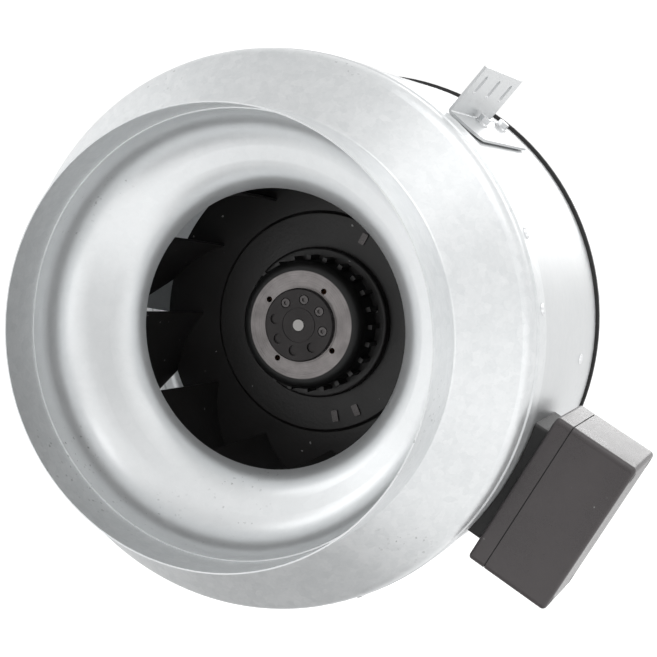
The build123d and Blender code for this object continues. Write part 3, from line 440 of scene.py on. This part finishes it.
housing, place, paint = new_finish("box_plastic", Specular_IOR_Level=0.5)
skin = noise(place, 1800.0, 3.0, 0.7)
haze = noise(place, 26.0, 4.0, 0.6)
scuff = (grains(place, 1100.0) - 0.9985).rise(0.0, 0.001) * noise(place, 30.0, 2.0).rise(0.5, 0.6)
dark_plastic = haze.between((0.036, 0.031, 0.032), (0.062, 0.054, 0.055))
paint(
    Base_Color=(scuff * 0.5).between(dark_plastic, (0.5, 0.5, 0.5)),
    Roughness=0.15 + skin * 0.12 + haze * 0.16,
    Normal=bumped(place, skin, 0.35, 0.0003),
)
wear(housing, "gland_body", "gland_nut", "gland_locknut")
softened("box_base", "casing", housing, box_round)
softened("box_cover", "terminal_cover", housing, box_round)

pedestal_black, place, paint = new_finish("pedestal_plastic")
skin = noise(place, 1400.0, 3.0, 0.7)
paint(
    Base_Color=skin.between((0.008, 0.008, 0.008), (0.020, 0.019, 0.019)),
    Roughness=0.42 + skin * 0.16,
    Normal=bumped(place, skin, 0.3, 0.0003),
)
softened("box_pedestal", "casing", pedestal_black, pedestal_round)

# ---- Impeller ----
# Pressed sheet under a black coat with a slight sheen, and a few small pale specks scattered at
# random.
coat, place, paint = new_finish("impeller_coat", Specular_IOR_Level=0.5)
drift = noise(place, 22.0, 4.0, 0.6)
speck = (grains(place, 800.0) - 0.9994).rise(0.0, 0.0003)
coat_colour = drift.between((0.009, 0.0085, 0.0085), (0.019, 0.0175, 0.0175))
paint(
    Base_Color=(speck * 0.5).between(coat_colour, (0.6, 0.6, 0.6)),
    Roughness=0.30 + drift * 0.22,
    Normal=bumped(place, noise(place, 420.0, 3.0), 0.25, 0.0006),
)
wear(coat, "impeller_backplate", "impeller_shroud", "impeller_blades")
hub_round = 0.0003
softened("impeller_hub", "rotor", coat, hub_round)

# ---- Motor ----
# The turning can is black coated; its flat face was turned bright after coating, so it
# shows fine rings. The cast boss in the middle is satin grey, its screws are blackened.
face_edge = 0.0418
face_depth = 0.1655
edge_blur = 0.0003
can_coat, place, paint = new_finish("rotor_can_coat", Specular_IOR_Level=0.4)
ringed = turned_lines(place)
reach, depth, _ = ringed.parts()
inside_edge = 1.0 - reach.rise(face_edge - edge_blur, face_edge + edge_blur)
turned_face = inside_edge * (1.0 - depth.rise(face_depth, face_depth + 2 * edge_blur))
lathe = noise(ringed, 1500.0, 3.0)
patch = noise(place, 90.0, 3.0)
bright = patch.between((0.12, 0.11, 0.11), (0.34, 0.32, 0.315))
paint(
    Base_Color=turned_face.between((0.006, 0.006, 0.006), bright),
    Metallic=turned_face * 0.95,
    Roughness=0.34 + patch * 0.10 - lathe * 0.06 + (1.0 - turned_face) * 0.10,
    Normal=bumped(place, lathe * turned_face, 0.5, 0.0006),
)
wear(can_coat, "rotor_can")

boss_paint, place, paint = new_finish("boss_paint", Metallic=0.6)
lathe = noise(turned_lines(place), 1400.0, 3.0)
patch = noise(place, 90.0, 3.0)
paint(
    Base_Color=patch.between((0.020, 0.018, 0.018), (0.046, 0.042, 0.042)),
    Roughness=0.36 + patch * 0.16,
    Normal=bumped(place, lathe, 0.3, 0.0004),
)
wear(boss_paint, "rotor_boss")

blackened, place, paint = new_finish("blackened_steel", Metallic=0.9)
skin = noise(place, 800.0, 3.0)
paint(
    Base_Color=skin.between((0.05, 0.047, 0.047), (0.16, 0.15, 0.15)),
    Roughness=0.30 + skin * 0.20,
    Normal=bumped(place, skin, 0.4, 0.0003),
)
wear(blackened, "rotor_screws", "balance_clips")

steel, place, paint = new_finish("ground_steel", Metallic=1.0)
lathe = noise(turned_lines(place), 3000.0, 3.0)
paint(
    Base_Color=lathe.between((0.20, 0.195, 0.19), (0.44, 0.43, 0.42)),
    Roughness=0.26 + lathe * 0.2,
    Normal=bumped(place, lathe, 0.2, 0.0002),
)
wear(steel, "shaft", "front_bearing", "rear_bearing")

lamination, place, paint = new_finish("lamination_steel", Metallic=0.8)
layers = noise(place, 900.0, 2.0)
paint(
    Base_Color=layers.between((0.10, 0.10, 0.11), (0.22, 0.22, 0.23)),
    Roughness=0.45 + layers * 0.2,
    Normal=bumped(place, layers, 0.3, 0.0003),
)
wear(lamination, "stator_core", "rotor_ring")

copper, place, paint = new_finish("enamelled_copper", Metallic=0.7)
strands = noise(turned_lines(place), 1100.0, 2.0)
paint(
    Base_Color=strands.between((0.42, 0.14, 0.05), (0.70, 0.30, 0.13)),
    Roughness=0.28 + strands * 0.2,
    Normal=bumped(place, strands, 0.6, 0.0006),
)
wear(copper, "stator_windings")

casting, place, paint = new_finish("die_cast_aluminium", Metallic=0.9)
skin = noise(place, 260.0, 4.0)
paint(
    Base_Color=skin.between((0.42, 0.43, 0.44), (0.58, 0.59, 0.60)),
    Roughness=0.45 + skin * 0.2,
    Normal=bumped(place, skin, 0.3, 0.0006),
)
wear(casting, "stator_flange")

# ---- Electrical parts ----
# Pale moulded terminal block and capacitor, brass screws and the motor's black lead.
moulding, place, paint = new_finish("pale_moulding")
skin = noise(place, 500.0, 3.0)
paint(
    Base_Color=skin.between((0.62, 0.61, 0.57), (0.74, 0.73, 0.69)),
    Roughness=0.4 + skin * 0.15,
    Normal=bumped(place, skin, 0.2, 0.0003),
)
wear(moulding, "terminal_block", "run_capacitor")

brass, place, paint = new_finish("plated_brass", Metallic=1.0)
skin = noise(place, 700.0, 3.0)
paint(
    Base_Color=skin.between((0.62, 0.48, 0.22), (0.78, 0.63, 0.33)),
    Roughness=0.26 + skin * 0.2,
    Normal=bumped(place, skin, 0.2, 0.0002),
)
wear(brass, "terminal_screws")

sheath, place, paint = new_finish("cable_sheath")
skin = noise(place, 400.0, 3.0)
paint(
    Base_Color=skin.between((0.012, 0.012, 0.013), (0.028, 0.028, 0.029)),
    Roughness=0.45 + skin * 0.2,
    Normal=bumped(place, skin, 0.2, 0.0003),
)
wear(sheath, "motor_lead")
